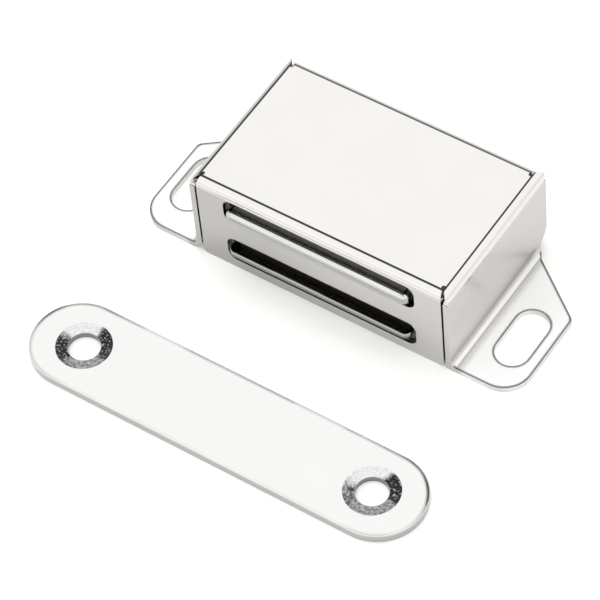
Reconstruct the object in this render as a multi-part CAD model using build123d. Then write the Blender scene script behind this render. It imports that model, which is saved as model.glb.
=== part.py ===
from build123d import *
import math
import os

# Magnetic catch, millimetres.
# Origin: middle of the case's footprint, on the mounting plane.
# +X along the case, +Y from the slotted front towards the back, +Z away from the mounting plane.

# Case: one folded sheet
body_length = 40.0
body_depth = 24.2
body_height = 15.3
sheet = 0.8
fold_radius = 1.4          # outside radius of the four folds round the top
foot_radius = 1.0          # outside radius of the fold between an end wall and its ear
corner_gap = 0.3           # open joint between a flange and the end wall beside it
corner_relief_radius = 0.3  # round hole at the head of each open joint
corner_trim = 0.4          # an end wall's top fold is trimmed this far past the wall's inner face
wall_notch_radius = 0.35   # nick in an end wall's edge, where its top fold ends
flange_corner_radius = 0.7

# Ears, folded out of the end walls
ear_reach = 9.7            # from the end wall's outer face to the tip
ear_rear_setback = 9.7     # from the case's back to the tip's rear corner
ear_taper = 37.3           # degrees, rear edge against the case's length
ear_front_radius = 4.0
ear_tip_radius = 1.0
neck_radius = 2.0          # rounding where the tapered edge leaves the end wall
ear_slot_width = 4.8
ear_slot_length = 9.75
ear_slot_from_tip = 4.1    # from the tip to the slot's centre line
ear_slot_setback = 8.65    # from the slotted front to the slot's middle

# Magnet pack: two pole plates with a magnet between them
pole_end_room = 5.05       # from an end wall to the plates' ends
pole_outer_room = 2.95     # from the top, and from the base, to the nearer plate
pole_thickness = 1.5
pole_proud = 1.0           # stand-out from the front of the case at rest
pole_corner_radius = 1.0
pole_outer_round = 0.9      # edge on the side away from the magnet
pole_inner_round = 0.15     # edge on the magnet's side
magnet_inset = 0.4         # magnet's sides and back inside the plates' edges
magnet_edge = 0.4
stop_clearance = 0.1       # magnet to the front wall that stops it
float_travel = 0.8         # how far the pack can be pushed in

# Pole slots in the front wall
slot_side_clearance = 0.65
slot_outer_clearance = 1.35  # towards the nearer of the base and the top
slot_inner_clearance = 1.45  # towards the middle of the case
slot_corner_radius = 1.4

# Moulded carrier that guides the pack inside the case
carrier_gap = 0.2          # all round, bridged by locating pads
carrier_wall = 1.2
pad_length = 6.0
pad_width = 3.0
pack_clearance = 0.15      # carrier to pole plates, above and below
pack_side_clearance = 0.3
float_margin = 0.2         # left behind the pack when it is pushed right in
core_depth = 1.0           # hollows in the carrier's floor
core_corner_radius = 0.8

# Strike plate for the door
strike_length = 60.0
strike_width = 13.2
strike_thickness = 1.2
strike_edge_round = 0.15
screw_spacing = 45.0
screw_hole_diameter = 4.5
countersink_diameter = 7.75
countersink_depth = 0.3
strike_distance = 21.85    # from the case's front to the plate's centre line
strike_offset = -0.7       # sideways, as the two lie

# Worked out from the sizes above
half_length = body_length / 2
half_depth = body_depth / 2
fold_inside = fold_radius - sheet
ear_tip_x = half_length + ear_reach
ear_flat_x = half_length + foot_radius
foot_top = sheet + foot_radius
inner_half_length = half_length - sheet
inner_half_depth = half_depth - sheet
inner_top = body_height - sheet
flange_half_length = inner_half_length - corner_gap
fold_start_x = half_length - fold_radius
fold_start_y = half_depth - fold_radius
fold_end_z = body_height - fold_radius
flange_head_x = fold_start_x - corner_gap / 2
trimmed_fold_x = inner_half_length + corner_trim
margin = 1.0               # how far cutting shapes run past the metal

taper_slope = math.tan(math.radians(ear_taper))
ear_tip_rear = half_depth - ear_rear_setback
ear_root_rear = ear_tip_rear + taper_slope * (ear_tip_x - ear_flat_x)
foot_unrolled = (foot_radius + sheet / 2) * math.pi / 2
wall_root_rear = ear_root_rear + taper_slope * foot_unrolled
neck_height = foot_top + (half_depth - wall_root_rear) / taper_slope

carrier_front = -inner_half_depth + carrier_gap
carrier_rear = inner_half_depth - carrier_gap
pocket_rear = carrier_rear - carrier_wall
pack_middle = body_height / 2
pack_half_height = pack_middle - pole_outer_room
pole_offset = pack_half_height - pole_thickness / 2
pole_width = 2 * (inner_half_length - pole_end_room)
pole_front = -half_depth - pole_proud
pole_rear = pocket_rear - float_margin - float_travel
slot_length = pole_width + 2 * slot_side_clearance
slot_height = pole_thickness + slot_outer_clearance + slot_inner_clearance
slot_offset = pole_offset + (slot_outer_clearance - slot_inner_clearance) / 2


def corners_at(face, x, y):
    """Corners of a flat outline at (x, y) and (-x, y)."""
    return [v for v in face.vertices() if math.isclose(abs(v.X), x) and math.isclose(v.Y, y)]


def outline(points):
    """Face inside a closed run of straight lines."""
    return make_face(Polyline(*points, close=True))


def mirrored(points):
    """The points, then their mirror images about x = 0 in reverse order."""
    return points + [(-x, y) for x, y in reversed(points)]


def block(x_range, y_range, z_range):
    """Box between three pairs of limits."""
    sizes = [high - low for low, high in (x_range, y_range, z_range)]
    middle = [(high + low) / 2 for low, high in (x_range, y_range, z_range)]
    return Pos(*middle) * Box(*sizes)


def end_walls_and_ears():
    """Top panel, end walls and ears: one constant section along Y, trimmed to the ear outline."""
    section = outline(mirrored([
        (ear_tip_x, 0),
        (ear_tip_x, sheet),
        (half_length, sheet),
        (half_length, body_height),
    ]) + mirrored([
        (-inner_half_length, 0),
        (-inner_half_length, inner_top),
    ]))
    section = fillet(corners_at(section, half_length, body_height), fold_radius)
    section = fillet(corners_at(section, inner_half_length, inner_top), fold_inside)
    section = fillet(corners_at(section, half_length, sheet), foot_radius)
    section = fillet(corners_at(section, inner_half_length, 0), foot_top)
    walls = extrude(Plane.XZ * section, half_depth, both=True)

    low_z = -margin
    side_view = outline([
        (-half_depth, low_z),
        (wall_root_rear - taper_slope * (foot_top - low_z), low_z),
        (half_depth, neck_height),
        (half_depth, body_height),
        (-half_depth, body_height),
    ])
    side_view = fillet(corners_at(side_view, half_depth, neck_height), neck_radius)
    walls &= extrude(Plane.YZ * side_view, ear_tip_x, both=True)

    ears_plan = outline(mirrored([
        (ear_tip_x, -half_depth),
        (ear_tip_x, ear_tip_rear),
        (ear_flat_x, ear_root_rear),
        (half_length, wall_root_rear),
        (inner_half_length, half_depth),
    ]))
    ears_plan = fillet(corners_at(ears_plan, ear_tip_x, -half_depth), ear_front_radius)
    ears_plan = fillet(corners_at(ears_plan, ear_tip_x, ear_tip_rear), ear_tip_radius)
    above_ears = block((-half_length, half_length), (-half_depth, half_depth), (foot_top, body_height))
    walls &= extrude(ears_plan, foot_top) + above_ears

    ear_slot = Rot(0, 0, 90) * SlotOverall(ear_slot_length, ear_slot_width)
    for side in (-1, 1):
        place = Pos(side * (ear_tip_x - ear_slot_from_tip), ear_slot_setback - half_depth)
        walls -= extrude(place * ear_slot, sheet)
    return walls


def flanges():
    """Front and back walls, folded down from the top panel between the end walls."""
    section = outline(mirrored([
        (half_depth, 0),
        (half_depth, body_height),
    ]) + mirrored([
        (-inner_half_depth, 0),
        (-inner_half_depth, inner_top),
    ]))
    section = fillet(corners_at(section, half_depth, body_height), fold_radius)
    section = fillet(corners_at(section, inner_half_depth, inner_top), fold_inside)
    folded = extrude(Plane.YZ * section, flange_half_length, both=True)
    folds_plan = outline(mirrored([
        (flange_half_length, -half_depth),
        (flange_head_x, -fold_start_y),
        (flange_head_x, fold_start_y),
        (flange_half_length, half_depth),
    ]))
    below_folds = block((-flange_half_length, flange_half_length), (-half_depth, half_depth), (0, fold_end_z))
    folded &= Pos(0, 0, fold_end_z) * extrude(folds_plan, fold_radius) + below_folds
    feet = [e for e in folded.edges().filter_by(Axis.Y) if e.center().Z < sheet
            and math.isclose(abs(e.center().X), flange_half_length)]
    return fillet(feet, flange_corner_radius)


def make_case():
    walls = end_walls_and_ears()
    for side in (-1, 1):
        fold_room = outline(mirrored([
            (fold_start_x, side * fold_start_y),
            (trimmed_fold_x, side * half_depth),
        ]))
        walls -= Pos(0, 0, fold_end_z) * extrude(fold_room, fold_radius)
        notch = Cylinder(wall_notch_radius, body_length + 2 * margin, rotation=(0, 90, 0))
        walls -= Pos(0, side * half_depth, fold_end_z) * notch
    case = walls + flanges()

    relief = Cylinder(corner_relief_radius, 2 * (sheet + margin))
    for place in GridLocations(2 * fold_start_x, 2 * fold_start_y, 2, 2):
        case -= place * Pos(0, 0, body_height) * relief

    pole_slot = RectangleRounded(slot_length, slot_height, slot_corner_radius)
    for side in (-1, 1):
        place = Plane.XZ.offset(inner_half_depth - margin) * Pos(0, pack_middle + side * slot_offset)
        case -= extrude(place * pole_slot, sheet + 2 * margin)
    return case


def make_pole_plate(side):
    """Flat steel plate; side is -1 below the magnet and +1 above it."""
    plate = Box(pole_width, pole_rear - pole_front, pole_thickness)
    plate = fillet(plate.edges().filter_by(Axis.Z), pole_corner_radius)
    plate = fillet(plate.faces().sort_by(Axis.Z)[-1].edges(), pole_outer_round)
    plate = fillet(plate.faces().sort_by(Axis.Z)[0].edges(), pole_inner_round)
    if side < 0:
        plate = mirror(plate, about=Plane.XY)
    middle_y = (pole_front + pole_rear) / 2
    return Pos(0, middle_y, pack_middle + side * pole_offset) * plate


def make_magnet():
    front = -inner_half_depth + stop_clearance
    half_width = pole_width / 2 - magnet_inset
    half_height = pack_half_height - pole_thickness
    magnet = block(
        (-half_width, half_width),
        (front, pole_rear - magnet_inset),
        (pack_middle - half_height, pack_middle + half_height),
    )
    return chamfer(magnet.edges().filter_by(Axis.Z), magnet_edge)


def make_carrier():
    """Box open at the front, guiding the pack above, below, at the sides and behind."""
    half_width = inner_half_length - carrier_gap
    top = inner_top - carrier_gap
    carrier = block((-half_width, half_width), (carrier_front, carrier_rear), (0, top))

    pocket_half_width = pole_width / 2 + pack_side_clearance
    pocket_half_height = pack_half_height + pack_clearance
    carrier -= block(
        (-pocket_half_width, pocket_half_width),
        (carrier_front, pocket_rear),
        (pack_middle - pocket_half_height, pack_middle + pocket_half_height),
    )

    # Side hollows, moulded from below
    hollow_low_x = pocket_half_width + carrier_wall
    hollow_high_x = half_width - carrier_wall
    hollow_length = carrier_rear - carrier_front - 2 * carrier_wall
    hollow = Rot(0, 0, 90) * SlotOverall(hollow_length, hollow_high_x - hollow_low_x)
    for side in (-1, 1):
        place = Pos(side * (hollow_low_x + hollow_high_x) / 2, (carrier_front + carrier_rear) / 2)
        carrier -= extrude(place * hollow, top - carrier_wall)

    # Four shallow hollows in the floor, with ribs crossing at the middle
    floor_span_x = 2 * pocket_half_width
    floor_span_y = hollow_length
    core = RectangleRounded(floor_span_x / 2 - carrier_wall, floor_span_y / 2 - carrier_wall, core_corner_radius)
    for place in GridLocations(floor_span_x / 2, floor_span_y / 2, 2, 2):
        carrier -= extrude(place * core, core_depth)

    # Locating pads against the case
    for x in (-half_width, half_width):
        for y in (-half_depth / 2, half_depth / 2):
            pad = block((x - carrier_gap, x + carrier_gap), (y - pad_length / 2, y + pad_length / 2),
                        (pack_middle - pad_width / 2, pack_middle + pad_width / 2))
            carrier += pad
    for x in (-half_length / 2, half_length / 2):
        carrier += block((x - pad_length / 2, x + pad_length / 2), (carrier_rear, inner_half_depth),
                         (pack_middle - pad_width / 2, pack_middle + pad_width / 2))
        carrier += block((x - pad_length / 2, x + pad_length / 2), (-pad_width / 2, pad_width / 2),
                         (top, inner_top))
    return carrier


def make_strike_plate():
    """Flat plate with full-round ends and two countersunk holes."""
    plate = extrude(SlotOverall(strike_length, strike_width), strike_thickness)
    plate = fillet(plate.faces().sort_by(Axis.Z)[-1].edges(), strike_edge_round)
    cone_bottom = strike_thickness - countersink_depth
    for side in (-1, 1):
        hole = Cylinder(screw_hole_diameter / 2, strike_thickness, align=(Align.CENTER, Align.CENTER, Align.MIN))
        sink = Cone(screw_hole_diameter / 2, countersink_diameter / 2, countersink_depth,
                    align=(Align.CENTER, Align.CENTER, Align.MIN))
        place = Pos(side * screw_spacing / 2, 0)
        plate -= place * hole
        plate -= place * Pos(0, 0, cone_bottom) * sink
    return Pos(strike_offset, -half_depth - strike_distance) * plate


parts = {
    "case": make_case(),
    "carrier": make_carrier(),
    "lower_pole_plate": make_pole_plate(-1),
    "magnet": make_magnet(),
    "upper_pole_plate": make_pole_plate(1),
    "strike_plate": make_strike_plate(),
}

os.makedirs("parts", exist_ok=True)
for name, solid in parts.items():
    export_step(solid, f"parts/{name}.step")
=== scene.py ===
import math

import bpy
from mathutils import Matrix, Vector

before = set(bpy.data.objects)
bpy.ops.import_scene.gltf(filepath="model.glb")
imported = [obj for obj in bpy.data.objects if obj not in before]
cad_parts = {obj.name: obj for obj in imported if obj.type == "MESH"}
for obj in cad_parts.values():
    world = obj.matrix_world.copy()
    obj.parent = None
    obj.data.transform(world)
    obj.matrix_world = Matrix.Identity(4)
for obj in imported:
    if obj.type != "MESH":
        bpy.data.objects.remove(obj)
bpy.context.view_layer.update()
MM = 0.001


# ---------------------------------------------------------------- numbers

CAMERA_TARGET = Vector((-3.28, -12.56, 0.07)) * MM
CAMERA_AZIMUTH = 38.11      # degrees; 0 looks along +Y
CAMERA_ELEVATION = 52.67
CAMERA_ROLL = -6.09
CAMERA_DISTANCE = 488.3 * MM
CAMERA_LENS = 221.1
CAMERA_NEAR, CAMERA_FAR = 0.01, 10.0

SKY_BRIGHT = 1.56           # what bright metal sees overhead
SKY_LOW = 1.0               # what it sees near the horizon
SKY_RISE = (0.02, 0.4)      # the sky brightens between these heights of a unit direction
SKY_PLAIN = 0.62            # the same light as it falls on everything else

FLOOR_SIZE = 3.0
FLOOR_DROP = 0.02 * MM
FLOOR_COLOUR = (0.85, 0.845, 0.825)
FLOOR_LIFT = 0.2            # added where the floor is seen directly

# Sizes of the part, in millimetres as in the CAD model
CASE_END = 20.0             # from the middle of the case to an end wall's outer face
FOLD_END = 13.9             # height at which the folds round the top run into the walls
SCREW_SPACING = 45.0
HOLE_RADIUS = 2.25
SINK_RADIUS = 3.875

# Painted reflection: a dark line along the start of each fold round a top, by the tilt of the
# surface in degrees
LINE_RIGHT, LINE_LEFT, LINE_FRONT, LINE_REAR = 12.5, 15.5, 16.5, 15.0     # at its middle
LINE_HALF_WIDTH = 6.4
LINE_WIDER_LEFT, LINE_WIDER_REAR = 1.35, 1.2
LINE_SOFT = 2.5
LINE_TONE, LINE_TONE_REAR = 0.05, 0.14

# A tone is the factor that a colour is multiplied by
EDGE_ROUND = 0.08 * MM      # sharp edges look rounded by this radius
EDGE_INSIDE = (0.62, 0.92)  # inside ambient occlusion at a sheet's edge, and away from it
BUMP_DEPTH = 0.02 * MM
GLOSSY = 0.10               # the least roughness of the metals
SPECK_RANGE = (0.3, 0.7)    # of a noise, from which a roughness follows

CASE_DARK, CASE_LIGHT = (0.585, 0.575, 0.56), (0.61, 0.60, 0.585)
CASE_GRAIN = (0.4, 6.0, 6.0)                # finer across the rolling direction
# Painted shade: a dark band this wide along the upper face's edges, low down on the ears
CASE_EDGE_WIDTH, CASE_EDGE_TONE = 0.6 * MM, 0.1
# Painted light: the ears lighter at their root by the end walls, darker towards the tip
EAR_ROOT, EAR_TIP = (0.93, 0.93, 0.925), (0.79, 0.79, 0.785)
EAR_METALLIC = 0.3
EAR_SATIN, END_SATIN = 0.28, 0.17           # added to the roughness
# Painted shade on the front and back walls: darker, more so at the foot and towards the left
FRONT_TONE, FRONT_FOOT_TONE, FRONT_LEFT_TONE = 0.96, 0.9, 0.81
# Painted light and shade on the end walls, lighter at the front and darker at the rear
END_TONE_FRONT, END_TONE_REAR = 1.05, 0.95
# Painted highlight low on each fold, and painted shade where the surface faces left
FOLD_FOOT_TONE, LEFT_FOLD_TONE = 1.3, 0.86

STRIKE_DARK, STRIKE_LIGHT = (0.595, 0.59, 0.585), (0.615, 0.61, 0.60)
POLE_DARK, POLE_LIGHT = (0.54, 0.535, 0.515), (0.60, 0.595, 0.575)
# Painted shade on the plates' upright sides
PLATE_SIDE_TONE = 0.76
# Painted shade: a dark band this wide along the upper face's edges
PLATE_EDGE_WIDTH, PLATE_EDGE_TONE = 1.5 * CASE_EDGE_WIDTH, 0.06

SINK_COLOUR = 0.62
SINK_MATT = 0.3             # how much less metallic a countersink is
SINK_DARK_AXIS = Vector((0.787, 0.617))              # painted reflection: the countersinks' darkest parts lie both ways along this
SINK_DARK_BACK_LEFT, SINK_DARK_BACK_RIGHT = 1.0, 0.78   # strength against it, in each countersink
CHATTER_DEPTH = 3.0

PLASTIC_DARK, PLASTIC_LIGHT = (0.18, 0.174, 0.162), (0.22, 0.213, 0.20)
PLASTIC_SPECULAR = 0.4
FERRITE_DARK, FERRITE_LIGHT = (0.006, 0.005, 0.004), (0.016, 0.014, 0.012)
FERRITE_SPECULAR = 0.12
ROUGH_BUMP_DEPTH = 0.03 * MM


# ---------------------------------------------------------------- node helpers

class Nodes:
    """Short ways to wire a shader node tree. Values may be numbers or sockets."""

    def __init__(self, tree):
        self.tree = tree
        tree.nodes.clear()

    def add(self, kind, **settings):
        node = self.tree.nodes.new(kind)
        for name, value in settings.items():
            setattr(node, name, value)
        return node

    def put(self, socket, value):
        if isinstance(value, bpy.types.NodeSocket):
            self.tree.links.new(value, socket)
        else:
            socket.default_value = value

    def math(self, operation, *values, clamp=False):
        node = self.add("ShaderNodeMath", operation=operation, use_clamp=clamp)
        for socket, value in zip(node.inputs, values):
            self.put(socket, value)
        return node.outputs[0]

    def plus(self, a, b, clamp=False):
        return self.math("ADD", a, b, clamp=clamp)

    def minus(self, a, b):
        return self.math("SUBTRACT", a, b)

    def over(self, a, b):
        return self.math("DIVIDE", a, b)

    def larger(self, a, b):
        return self.math("MAXIMUM", a, b)

    def size_of(self, value):
        return self.math("ABSOLUTE", value)

    def product(self, first, *others):
        for other in others:
            first = self.math("MULTIPLY", first, other)
        return first

    def blend(self, factor, a, b):
        """a where the factor is 0, b where it is 1."""
        return self.plus(self.product(self.minus(1.0, factor), a), self.product(factor, b))

    def ramp(self, value, low, high, to_low=0.0, to_high=1.0):
        """Smooth change from to_low to to_high while value goes from low to high."""
        node = self.add("ShaderNodeMapRange", interpolation_type="SMOOTHSTEP")
        for socket, number in zip(node.inputs, (value, low, high, to_low, to_high)):
            self.put(socket, number)
        return node.outputs[0]

    def vector(self, operation, *values):
        node = self.add("ShaderNodeVectorMath", operation=operation)
        for socket, value in zip(node.inputs, values):
            self.put(socket, value)
        return node.outputs[0]

    def xyz(self, vector):
        node = self.add("ShaderNodeSeparateXYZ")
        self.put(node.inputs[0], vector)
        return node.outputs[0], node.outputs[1], node.outputs[2]

    def millimetres(self):
        """Place on the object, in millimetres."""
        place = self.add("ShaderNodeTexCoord").outputs["Object"]
        return self.vector("MULTIPLY", place, (1 / MM, 1 / MM, 1 / MM))

    def surface(self):
        """Which way the surface faces."""
        return self.add("ShaderNodeNewGeometry").outputs["Normal"]

    def noise(self, vector, scale, detail=2.0, roughness=0.5):
        node = self.add("ShaderNodeTexNoise")
        self.put(node.inputs["Vector"], vector)
        node.inputs["Scale"].default_value = scale
        node.inputs["Detail"].default_value = detail
        node.inputs["Roughness"].default_value = roughness
        return node.outputs[0]

    def mix(self, factor, a, b):
        node = self.add("ShaderNodeMix", data_type="RGBA")
        self.put(node.inputs["Factor"], factor)
        for socket, value in ((node.inputs[6], a), (node.inputs[7], b)):
            self.put(socket, value if isinstance(value, bpy.types.NodeSocket) else (*value, 1.0))
        return node.outputs[2]

    def grey(self, value):
        node = self.add("ShaderNodeCombineXYZ")
        for socket in node.inputs:
            self.put(socket, value)
        return node.outputs[0]

    def times(self, colour, tone):
        """Colour made darker or lighter."""
        return self.vector("MULTIPLY", colour, self.grey(tone))

    def toned(self, colour, mask, tone):
        """Colour made darker or lighter where the mask is 1."""
        return self.times(colour, self.ramp(mask, 0.0, 1.0, 1.0, tone))

    def rounded(self, radius):
        node = self.add("ShaderNodeBevel", samples=8)
        node.inputs["Radius"].default_value = radius
        return node.outputs[0]

    def bump(self, height, strength, distance, normal=None):
        node = self.add("ShaderNodeBump")
        node.inputs["Strength"].default_value = strength
        node.inputs["Distance"].default_value = distance
        self.put(node.inputs["Height"], height)
        if normal is not None:
            self.put(node.inputs["Normal"], normal)
        return node.outputs[0]

    def upper_edge(self, width):
        """1 on an upward face at the sheet's edge, 0 away from it."""
        node = self.add("ShaderNodeAmbientOcclusion", samples=8, inside=True)
        node.inputs["Distance"].default_value = width
        near = self.ramp(node.outputs["AO"], *EDGE_INSIDE, 1.0, 0.0)
        return self.product(near, self.ramp(self.xyz(self.surface())[2], 0.6, 0.9))

    def painted_fold_reflection(self):
        """The tone of a painted reflection, a dark line along a fold's start, and 1 elsewhere.
        """
        lean_x, lean_y, _ = self.xyz(self.surface())
        right = self.math("DEGREES", self.math("ARCSINE", lean_x))
        rear = self.math("DEGREES", self.math("ARCSINE", lean_y))
        past_left = self.over(self.minus(-LINE_LEFT, right), LINE_WIDER_LEFT)
        past_rear = self.over(self.minus(rear, LINE_REAR), LINE_WIDER_REAR)
        across = self.larger(self.minus(right, LINE_RIGHT), past_left)
        along = self.larger(past_rear, self.minus(-LINE_FRONT, rear))
        off_line = self.size_of(self.larger(across, along))
        clear = self.ramp(off_line, LINE_HALF_WIDTH - LINE_SOFT, LINE_HALF_WIDTH + LINE_SOFT)
        tone = self.ramp(rear, 0.0, LINE_REAR, LINE_TONE, LINE_TONE_REAR)
        return self.plus(tone, self.product(clear, self.minus(1.0, tone)))


# ---------------------------------------------------------------- camera, room and floor

def make_camera():
    data = bpy.data.cameras.new("camera")
    data.lens = CAMERA_LENS
    data.clip_start, data.clip_end = CAMERA_NEAR, CAMERA_FAR
    camera = bpy.data.objects.new("camera", data)
    bpy.context.scene.collection.objects.link(camera)
    azimuth, elevation = math.radians(CAMERA_AZIMUTH), math.radians(CAMERA_ELEVATION)
    across = Vector((math.cos(azimuth), math.sin(azimuth), 0))
    back = Vector((math.sin(azimuth) * math.cos(elevation),
                   -math.cos(azimuth) * math.cos(elevation), math.sin(elevation)))
    level = Matrix((across, back.cross(across), back)).transposed().to_4x4()
    roll = Matrix.Rotation(math.radians(CAMERA_ROLL), 4, "Z")
    place = Matrix.Translation(CAMERA_TARGET + back * CAMERA_DISTANCE)
    camera.matrix_world = place @ level @ roll
    bpy.context.scene.camera = camera


def make_lamp(name, direction, distance, size, power):
    """Soft square lamp aimed at the object. Metal sees the room's own light instead of it."""
    data = bpy.data.lights.new(name, "AREA")
    data.shape = "SQUARE"
    data.size = size
    data.energy = power
    lamp = bpy.data.objects.new(name, data)
    bpy.context.scene.collection.objects.link(lamp)
    lamp.location = direction.normalized() * distance
    lamp.rotation_mode = "QUATERNION"
    lamp.rotation_quaternion = direction.to_track_quat("Z", "Y")
    lamp.visible_glossy = False


def make_world():
    """A white room: plain white to the camera, and brighter overhead for metal."""
    world = bpy.data.worlds.new("room")
    bpy.context.scene.world = world
    world.use_nodes = True
    n = Nodes(world.node_tree)
    direction = n.vector("NORMALIZE", n.add("ShaderNodeTexCoord").outputs["Generated"])
    sky = n.ramp(n.xyz(direction)[2], *SKY_RISE, SKY_LOW, SKY_BRIGHT)
    ray = n.add("ShaderNodeLightPath").outputs
    mirrored = n.plus(ray["Is Glossy Ray"], ray["Is Transmission Ray"], clamp=True)
    unseen = n.blend(mirrored, SKY_PLAIN, sky)
    background = n.add("ShaderNodeBackground")
    background.inputs["Color"].default_value = (1.0, 1.0, 1.0, 1.0)
    n.put(background.inputs["Strength"], n.blend(ray["Is Camera Ray"], unseen, 1.0))
    n.put(n.add("ShaderNodeOutputWorld").inputs["Surface"], background.outputs[0])


def make_floor():
    """Plain white floor that keeps shadows, lifted a little for the camera and for metal."""
    mesh = bpy.data.meshes.new("floor")
    half = FLOOR_SIZE / 2
    corners = ((-half, -half), (half, -half), (half, half), (-half, half))
    mesh.from_pydata([(x, y, -FLOOR_DROP) for x, y in corners], [], [(0, 1, 2, 3)])
    floor = bpy.data.objects.new("floor", mesh)
    bpy.context.scene.collection.objects.link(floor)
    material = bpy.data.materials.new("floor_white")
    material.use_nodes = True
    n = Nodes(material.node_tree)
    paper = n.add("ShaderNodeBsdfDiffuse")
    paper.inputs["Color"].default_value = (*FLOOR_COLOUR, 1.0)
    ray = n.add("ShaderNodeLightPath").outputs
    seen = n.plus(ray["Is Camera Ray"], ray["Is Glossy Ray"])
    seen = n.plus(seen, ray["Is Transmission Ray"], clamp=True)
    lift = n.add("ShaderNodeEmission")
    n.put(lift.inputs["Strength"], n.product(seen, FLOOR_LIFT))
    both = n.add("ShaderNodeAddShader")
    n.put(both.inputs[0], paper.outputs[0])
    n.put(both.inputs[1], lift.outputs[0])
    n.put(n.add("ShaderNodeOutputMaterial").inputs["Surface"], both.outputs[0])
    mesh.materials.append(material)


# ---------------------------------------------------------------- materials

def new_material(name):
    material = bpy.data.materials.new(name)
    material.use_nodes = True
    n = Nodes(material.node_tree)
    shader = n.add("ShaderNodeBsdfPrincipled")
    n.put(n.add("ShaderNodeOutputMaterial").inputs["Surface"], shader.outputs[0])
    return material, n, shader


def stainless():
    """Bright rolled stainless sheet: mirror-like box and satin ears, with painted light, shade
    and reflections: painted shade along the ears' sheared edges, dark lines at the folds, and
    tones by place and facing.
    """
    material, n, shader = new_material("stainless_sheet")
    place = n.millimetres()
    x, y, z = n.xyz(place)
    out = n.size_of(x)
    lean_x, lean_y, lean_z = n.xyz(n.surface())
    sideways = n.larger(n.size_of(lean_x), n.size_of(lean_y))
    grain = n.noise(n.vector("MULTIPLY", place, CASE_GRAIN), 3.0, 3.0)
    cloud = n.noise(place, 0.12)

    # Masks by place, in millimetres, and by which way the surface faces
    on_ear = n.ramp(out, CASE_END + 0.9, CASE_END + 2.2)
    to_ear_tip = n.ramp(out, CASE_END + 1.0, CASE_END + 8.0)
    on_end = n.product(n.ramp(out, CASE_END - 0.25, CASE_END - 0.05), n.ramp(z, 14.6, 12.6))
    on_fold = n.ramp(z, FOLD_END - 0.15, FOLD_END + 0.1)
    fold_foot_highlight = n.product(on_fold, n.ramp(sideways, 0.66, 0.9))
    on_front = n.product(n.ramp(n.size_of(lean_y), 0.7, 0.95), n.minus(1.0, on_fold))
    front_foot_shade = n.product(n.ramp(n.size_of(lean_z), 0.5, 0.1), on_front,
                           n.ramp(z, 0.0, 9.0, 1.0, 0.0))
    front_left_shade = n.product(on_front, n.ramp(x, -CASE_END, 14.0, 1.0, 0.0))
    # Painted shade: a dark band along the ears' upper edges
    painted_edge_shade = n.product(n.upper_edge(CASE_EDGE_WIDTH), n.ramp(z, 3.0, 2.0))
    # Painted reflection: the dark line along each fold's start, fainter low down where the walls
    # bend into the ears
    line = n.product(n.ramp(z, 3.0, 6.0, 0.4, 1.0), n.minus(1.0, n.painted_fold_reflection()))

    box = n.mix(cloud, CASE_DARK, CASE_LIGHT)
    # Painted light: the ears lighter at their root
    sheet = n.mix(on_ear, box, n.mix(to_ear_tip, EAR_ROOT, EAR_TIP))
    # Painted shade on the front and back walls: darker all over, at their foot and towards their
    # left
    sheet = n.toned(sheet, front_foot_shade, FRONT_FOOT_TONE)
    sheet = n.toned(sheet, on_front, FRONT_TONE)
    sheet = n.toned(sheet, front_left_shade, FRONT_LEFT_TONE)
    sheet = n.times(sheet, n.ramp(grain, 0.25, 0.75, 0.985, 1.0))
    sheet = n.toned(sheet, painted_edge_shade, CASE_EDGE_TONE)
    # Painted shade where the surface faces left
    sheet = n.times(sheet, n.ramp(lean_x, -0.15, -0.4, 1.0, LEFT_FOLD_TONE))
    # Painted light and shade on the end walls: lighter towards the front, darker towards the
    # rear
    sheet = n.toned(sheet, on_end, n.ramp(y, -10.0, 12.0, END_TONE_FRONT, END_TONE_REAR))
    # Painted highlight on the steep lower part of each fold
    sheet = n.toned(sheet, fold_foot_highlight, FOLD_FOOT_TONE)
    sheet = n.times(sheet, n.minus(1.0, line))

    satin = n.larger(n.product(on_ear, EAR_SATIN), n.product(on_end, END_SATIN))
    polish = n.ramp(grain, *SPECK_RANGE, GLOSSY, 0.14)
    n.put(shader.inputs["Metallic"], n.ramp(on_ear, 0.0, 1.0, 1.0, EAR_METALLIC))
    n.put(shader.inputs["Base Color"], sheet)
    n.put(shader.inputs["Roughness"], n.plus(polish, satin))
    n.put(shader.inputs["Normal"], n.bump(grain, 0.02, BUMP_DEPTH, n.rounded(EDGE_ROUND)))
    return material


class Plating:
    """Plated steel: speckled, with painted shade on its upright sides and a painted dark band
    round its upper face.
    """

    def __init__(self, name, dark, light):
        self.material, self.n, self.shader = new_material(name)
        n = self.n
        self.place = n.millimetres()
        self.speck = n.noise(self.place, 4.0, 3.0)
        # Painted shade: upright sides darker
        upright = n.ramp(n.size_of(n.xyz(n.surface())[2]), 0.6, 0.2)
        cloud = n.noise(self.place, 0.15)
        self.colour = n.toned(n.mix(cloud, dark, light), upright, PLATE_SIDE_TONE)
        # Patches along which the painted dark edge is stronger or weaker
        self.edge_shade_patches = n.ramp(n.noise(self.place, 0.13, 1.0), 0.42, 0.56, 0.6, 1.0)
        self.metallic = 1.0
        self.height = self.speck

    def finished(self):
        n, sockets = self.n, self.shader.inputs
        # Painted shade: a dark band along the upper face's edge
        edge = n.product(n.upper_edge(PLATE_EDGE_WIDTH), self.edge_shade_patches)
        colour = n.times(self.colour, n.ramp(edge, 0.0, 0.9, 1.0, PLATE_EDGE_TONE))
        n.put(sockets["Metallic"], self.metallic)
        n.put(sockets["Base Color"], colour)
        n.put(sockets["Roughness"], n.ramp(self.speck, *SPECK_RANGE, GLOSSY, 0.16))
        n.put(sockets["Normal"], n.bump(self.height, 0.2, BUMP_DEPTH, n.rounded(EDGE_ROUND)))
        return self.material


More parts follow.
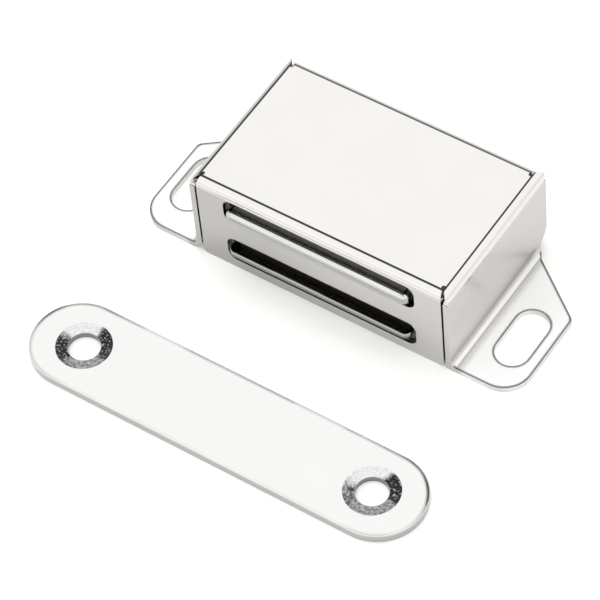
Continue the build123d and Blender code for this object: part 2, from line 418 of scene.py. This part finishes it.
def pole_plating(name, shade=None):
    """Plated pole plate, with a painted dark line at its rounded edges. shade is two heights in
    millimetres, and the tone of painted shade at each.
    """
    plate = Plating(name, POLE_DARK, POLE_LIGHT)
    n = plate.n
    # Painted reflection: the same dark line as at the folds, where the plate's rounded edges
    # tilt the same way
    plate.colour = n.times(plate.colour, n.painted_fold_reflection())
    if shade:
        plate.colour = n.times(plate.colour, n.ramp(n.xyz(plate.place)[2], *shade))
    return plate.finished()


def strike_plating(middle):
    """Plated strike plate, its countersinks either side of the middle, with chatter marks in
    their bump and a painted reflection in their colour.
    """
    plate = Plating("strike_plated", STRIKE_DARK, STRIKE_LIGHT)
    n = plate.n
    x, y, _ = n.xyz(plate.place)
    from_middle = n.minus(x, middle.x)
    side = n.math("SIGN", from_middle)
    from_x = n.minus(from_middle, n.product(side, SCREW_SPACING / 2))
    from_y = n.minus(y, middle.y)
    away = n.math("SQRT", n.plus(n.math("POWER", from_x, 2.0), n.math("POWER", from_y, 2.0)))
    in_sink = n.product(n.ramp(away, SINK_RADIUS, SINK_RADIUS - 0.08),
                        n.ramp(away, HOLE_RADIUS - 0.02, HOLE_RADIUS + 0.05))

    # Round a hole: how far along the axis of the painted dark reflection, either way, and how
    # far up across it
    along = n.plus(n.product(from_x, SINK_DARK_AXIS.x), n.product(from_y, SINK_DARK_AXIS.y))
    up = n.minus(n.product(from_y, SINK_DARK_AXIS.x), n.product(from_x, SINK_DARK_AXIS.y))
    back = n.product(along, n.ramp(side, -1.0, 1.0, -SINK_DARK_BACK_LEFT, -SINK_DARK_BACK_RIGHT))
    never_zero = n.larger(away, 0.01)
    toward_dark = n.over(n.larger(along, back), never_zero)
    upward = n.over(up, never_zero)

    # Painted reflection in the countersinks: dark lobes along the axis, lighter towards the
    # upper side across it, mottled by the noise that also bumps in the chatter marks
    chatter_and_reflection = n.noise(plate.place, 2.8, 2.5, 0.6)
    dark_wobble = n.noise(plate.place, 0.55, 1.0)
    dark_reflection = n.ramp(n.plus(toward_dark, n.product(dark_wobble, 0.5)), 0.84, 1.12)
    reflection_mottle = n.ramp(n.ramp(chatter_and_reflection, 0.40, 0.60), 0.0, 1.0,
                    n.ramp(upward, 0.2, 0.95, 0.42, 0.85), 1.0)
    lit_far_side = n.product(n.ramp(upward, -0.8, 0.8, 0.5, 1.0), reflection_mottle)
    sink_reflection = n.blend(dark_reflection, lit_far_side, n.ramp(chatter_and_reflection, 0.50, 0.74, 0.01, 0.6))
    colour = n.mix(in_sink, plate.colour, n.grey(n.product(sink_reflection, SINK_COLOUR)))
    # Painted shade: the hole's wall half as bright
    hole_edge_shade = n.ramp(away, HOLE_RADIUS + 0.02, HOLE_RADIUS + 0.06, 0.5, 1.0)
    plate.colour = n.times(colour, hole_edge_shade)
    plate.metallic = n.minus(1.0, n.product(in_sink, SINK_MATT))
    plate.height = n.plus(plate.speck, n.product(in_sink, n.product(chatter_and_reflection, CHATTER_DEPTH)))

    # The painted dark edge shade is strongest behind and near the ends, and the countersinks
    # have none
    behind = n.ramp(from_y, -4.0, 3.0, 0.35, 1.0)
    at_end = n.ramp(n.size_of(from_middle), 19.0, 25.0, 0.55, 1.0)
    outside_sink = n.ramp(away, SINK_RADIUS - 0.1, SINK_RADIUS + 0.1)
    plate.edge_shade_patches = n.product(plate.edge_shade_patches, behind, at_end, outside_sink)
    return plate.finished()


def moulded_black():
    """Dark moulded plastic."""
    material, n, shader = new_material("moulded_black")
    speck = n.noise(n.millimetres(), 6.0, 3.0)
    n.put(shader.inputs["Base Color"], n.mix(speck, PLASTIC_DARK, PLASTIC_LIGHT))
    n.put(shader.inputs["Roughness"], n.ramp(speck, *SPECK_RANGE, 0.42, 0.55))
    shader.inputs["Specular IOR Level"].default_value = PLASTIC_SPECULAR
    n.put(shader.inputs["Normal"], n.bump(speck, 0.15, ROUGH_BUMP_DEPTH))
    return material


def ferrite():
    """Nearly black sintered magnet."""
    material, n, shader = new_material("sintered_ferrite")
    grain = n.noise(n.millimetres(), 9.0, 4.0, 0.6)
    n.put(shader.inputs["Base Color"], n.mix(grain, FERRITE_DARK, FERRITE_LIGHT))
    n.put(shader.inputs["Roughness"], n.ramp(grain, *SPECK_RANGE, 0.55, 0.8))
    shader.inputs["Specular IOR Level"].default_value = FERRITE_SPECULAR
    n.put(shader.inputs["Normal"], n.bump(grain, 0.4, ROUGH_BUMP_DEPTH))
    return material


# ---------------------------------------------------------------- the part, dressed

def own_box(node):
    """Lowest and highest corner of a node's mesh, in its own millimetres."""
    points = [Vector(corner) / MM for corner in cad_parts[node].bound_box]
    low = Vector([min(p[i] for p in points) for i in range(3)])
    high = Vector([max(p[i] for p in points) for i in range(3)])
    return low, high


def dress(node, material):
    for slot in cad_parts[node].material_slots:
        slot.material = material


make_camera()
make_world()
make_lamp("key", Vector((-0.3, 0.1, 1.0)), distance=0.7, size=0.7, power=2.6)
make_lamp("fill", Vector((0.5, -0.7, 1.0)), distance=0.8, size=0.8, power=1.8)
make_floor()

dress("case", stainless())
strike_low, strike_high = own_box("strike_plate")
dress("strike_plate", strike_plating((strike_low + strike_high) / 2))
dress("upper_pole_plate", pole_plating("pole_plated"))
pole_top = own_box("lower_pole_plate")[1].z
# The lower pole plate is a shaded copy: painted shade makes it dark below its top edge
dress("lower_pole_plate",
      pole_plating("pole_plated_painted_shade", shade=(pole_top - 0.8, pole_top - 0.3, 0.16, 0.9)))
dress("carrier", moulded_black())
dress("magnet", ferrite())

bpy.context.scene.view_settings.view_transform = "Standard"
